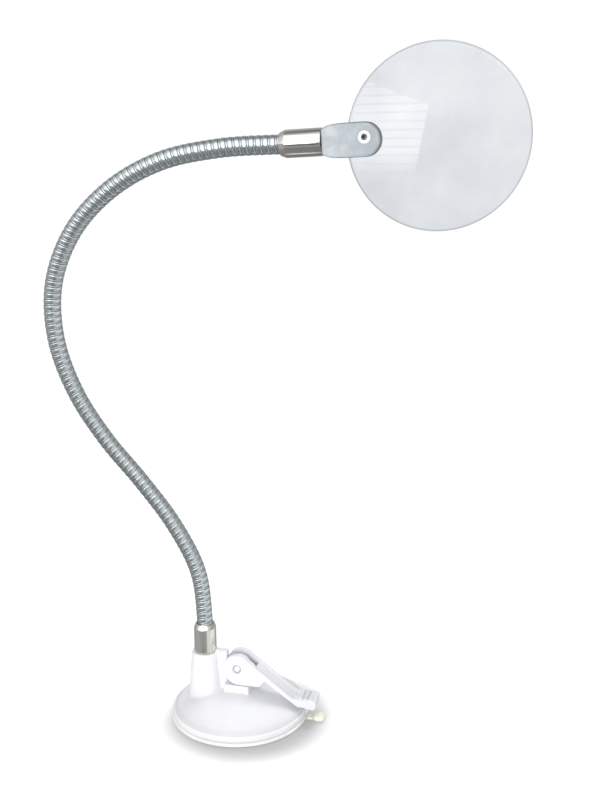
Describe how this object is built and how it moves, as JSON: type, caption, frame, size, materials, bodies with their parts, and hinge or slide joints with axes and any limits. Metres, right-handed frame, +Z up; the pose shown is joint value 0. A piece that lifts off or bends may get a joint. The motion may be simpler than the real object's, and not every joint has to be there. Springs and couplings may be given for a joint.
{
  "type": "gooseneck hobby magnifier",
  "caption": "Rimless round magnifying lens on a bendable steel gooseneck, standing on a white suction base that a cam lever locks.",
  "frame": {"origin": "centre of the suction base's rest plane, on the table", "axes": "+Z up; +X from the neck's column towards the lever's finger pad; the lens looks along -Y"},
  "size_m": [0.2712, 0.1003, 0.3936],
  "materials": {
    "white_abs": "gloss",
    "clear_pvc": "gloss",
    "nickel": "polished",
    "wedge_wire": "satin",
    "round_wire": "satin",
    "zinc_steel": "satin",
    "frosted_holder": "satin",
    "clear_acrylic": "polished",
    "white_nylon": "satin"
  },
  "bodies": {
    "base": {"base_shell": "white_abs", "suction_cup": "clear_pvc", "lower_ferrule": "nickel", "base_bolt": "zinc_steel", "bolt_washer": "zinc_steel", "neck_wedge_wire_01": "wedge_wire", "neck_round_wire_01": "round_wire"},
    "release_tab": {"release_tab": "clear_pvc"},
    "pull_stem": {"pull_stem": "white_abs"},
    "cam_lever": {"cam_lever": "white_abs", "lever_pin": "white_abs"},
    "neck_02": {"neck_wedge_wire_02": "wedge_wire", "neck_round_wire_02": "round_wire"},
    "neck_03": {"neck_wedge_wire_03": "wedge_wire", "neck_round_wire_03": "round_wire"},
    "neck_04": {"neck_wedge_wire_04": "wedge_wire", "neck_round_wire_04": "round_wire"},
    "neck_05": {"neck_wedge_wire_05": "wedge_wire", "neck_round_wire_05": "round_wire"},
    "neck_06": {"neck_wedge_wire_06": "wedge_wire", "neck_round_wire_06": "round_wire"},
    "neck_07": {"neck_wedge_wire_07": "wedge_wire", "neck_round_wire_07": "round_wire"},
    "neck_08": {"neck_wedge_wire_08": "wedge_wire", "neck_round_wire_08": "round_wire"},
    "neck_09": {"neck_wedge_wire_09": "wedge_wire", "neck_round_wire_09": "round_wire"},
    "neck_10": {"neck_wedge_wire_10": "wedge_wire", "neck_round_wire_10": "round_wire"},
    "neck_11": {"neck_wedge_wire_11": "wedge_wire", "neck_round_wire_11": "round_wire"},
    "head": {"neck_wedge_wire_12": "wedge_wire", "neck_round_wire_12": "round_wire", "upper_ferrule": "nickel", "holder_stud": "zinc_steel", "lens_holder": "frosted_holder", "pivot_rivet": "zinc_steel", "rivet_bush_front": "white_nylon", "rivet_bush_rear": "white_nylon"},
    "lens": {"lens": "clear_acrylic"}
  },
  "joints": [
    {"name": "lever_turn", "type": "hinge", "parent": "pull_stem", "child": "cam_lever", "pos_m": [0, 0, 0.0316], "axis": [0, -1, 0], "range_deg": [0, 85]},
    {"name": "stem_slide", "type": "slide", "parent": "base", "child": "pull_stem", "axis": [0, 0, 1], "range_m": [-0.0023, 0], "deforming": ["suction_cup"]},
    {"name": "tab_lift", "type": "hinge", "parent": "base", "child": "release_tab", "pos_m": [0.0444, 0, 0.001], "axis": [0, -1, 0], "range_deg": [0, 40], "stiffness_Nm_per_rad": 0.004},
    {"name": "neck_bend_01", "type": "hinge", "parent": "base", "child": "neck_02", "pos_m": [-0.02609, -0.00048, 0.09157], "axis": [0.0117, -0.9991, -0.0417], "range_deg": [-15, 15]},
    {"name": "neck_bend_02", "type": "hinge", "parent": "neck_02", "child": "neck_03", "pos_m": [-0.04006, -0.00307, 0.12225], "axis": [0.8463, 0, 0.5327], "range_deg": [-15, 15]},
    {"name": "neck_bend_03", "type": "hinge", "parent": "neck_03", "child": "neck_04", "pos_m": [-0.05882, -0.00722, 0.15023], "axis": [0.0821, -0.989, -0.1228], "range_deg": [-15, 15]},
    {"name": "neck_bend_04", "type": "hinge", "parent": "neck_04", "child": "neck_05", "pos_m": [-0.0784, -0.01307, 0.17734], "axis": [0.8263, 0, 0.5633], "range_deg": [-15, 15]},
    {"name": "neck_bend_05", "type": "hinge", "parent": "neck_05", "child": "neck_06", "pos_m": [-0.09343, -0.0199, 0.20691], "axis": [0.0749, -0.9769, -0.2003], "range_deg": [-15, 15]},
    {"name": "neck_bend_06", "type": "hinge", "parent": "neck_06", "child": "neck_07", "pos_m": [-0.10063, -0.02698, 0.2392], "axis": [0.9969, 0, 0.0785], "range_deg": [-15, 15]},
    {"name": "neck_bend_07", "type": "hinge", "parent": "neck_07", "child": "neck_08", "pos_m": [-0.09725, -0.03328, 0.27216], "axis": [-0.0544, -0.9848, -0.1651], "range_deg": [-15, 15]},
    {"name": "neck_bend_08", "type": "hinge", "parent": "neck_08", "child": "neck_09", "pos_m": [-0.08155, -0.03865, 0.30161], "axis": [0.7954, 0, -0.606], "range_deg": [-15, 15]},
    {"name": "neck_bend_09", "type": "hinge", "parent": "neck_09", "child": "neck_10", "pos_m": [-0.05674, -0.0433, 0.32405], "axis": [-0.1017, -0.9926, -0.0666], "range_deg": [-15, 15]},
    {"name": "neck_bend_10", "type": "hinge", "parent": "neck_10", "child": "neck_11", "pos_m": [-0.02644, -0.04679, 0.3387], "axis": [0.2982, 0, -0.9545], "range_deg": [-15, 15]},
    {"name": "neck_bend_11", "type": "hinge", "parent": "neck_11", "child": "head", "pos_m": [0.0068, -0.04866, 0.34497], "axis": [-0.0316, -0.9995, -0.0025], "range_deg": [-15, 15]},
    {"name": "lens_swing", "type": "hinge", "parent": "head", "child": "lens", "pos_m": [0.08452, -0.04948, 0.34943], "axis": [0.0029, -0.9976, -0.0697], "range_deg": [-40, 40]}
  ],
  "couplings": [
    {"joint": "lever_turn", "follows": "stem_slide", "rad_per_m": -645}
  ]
}
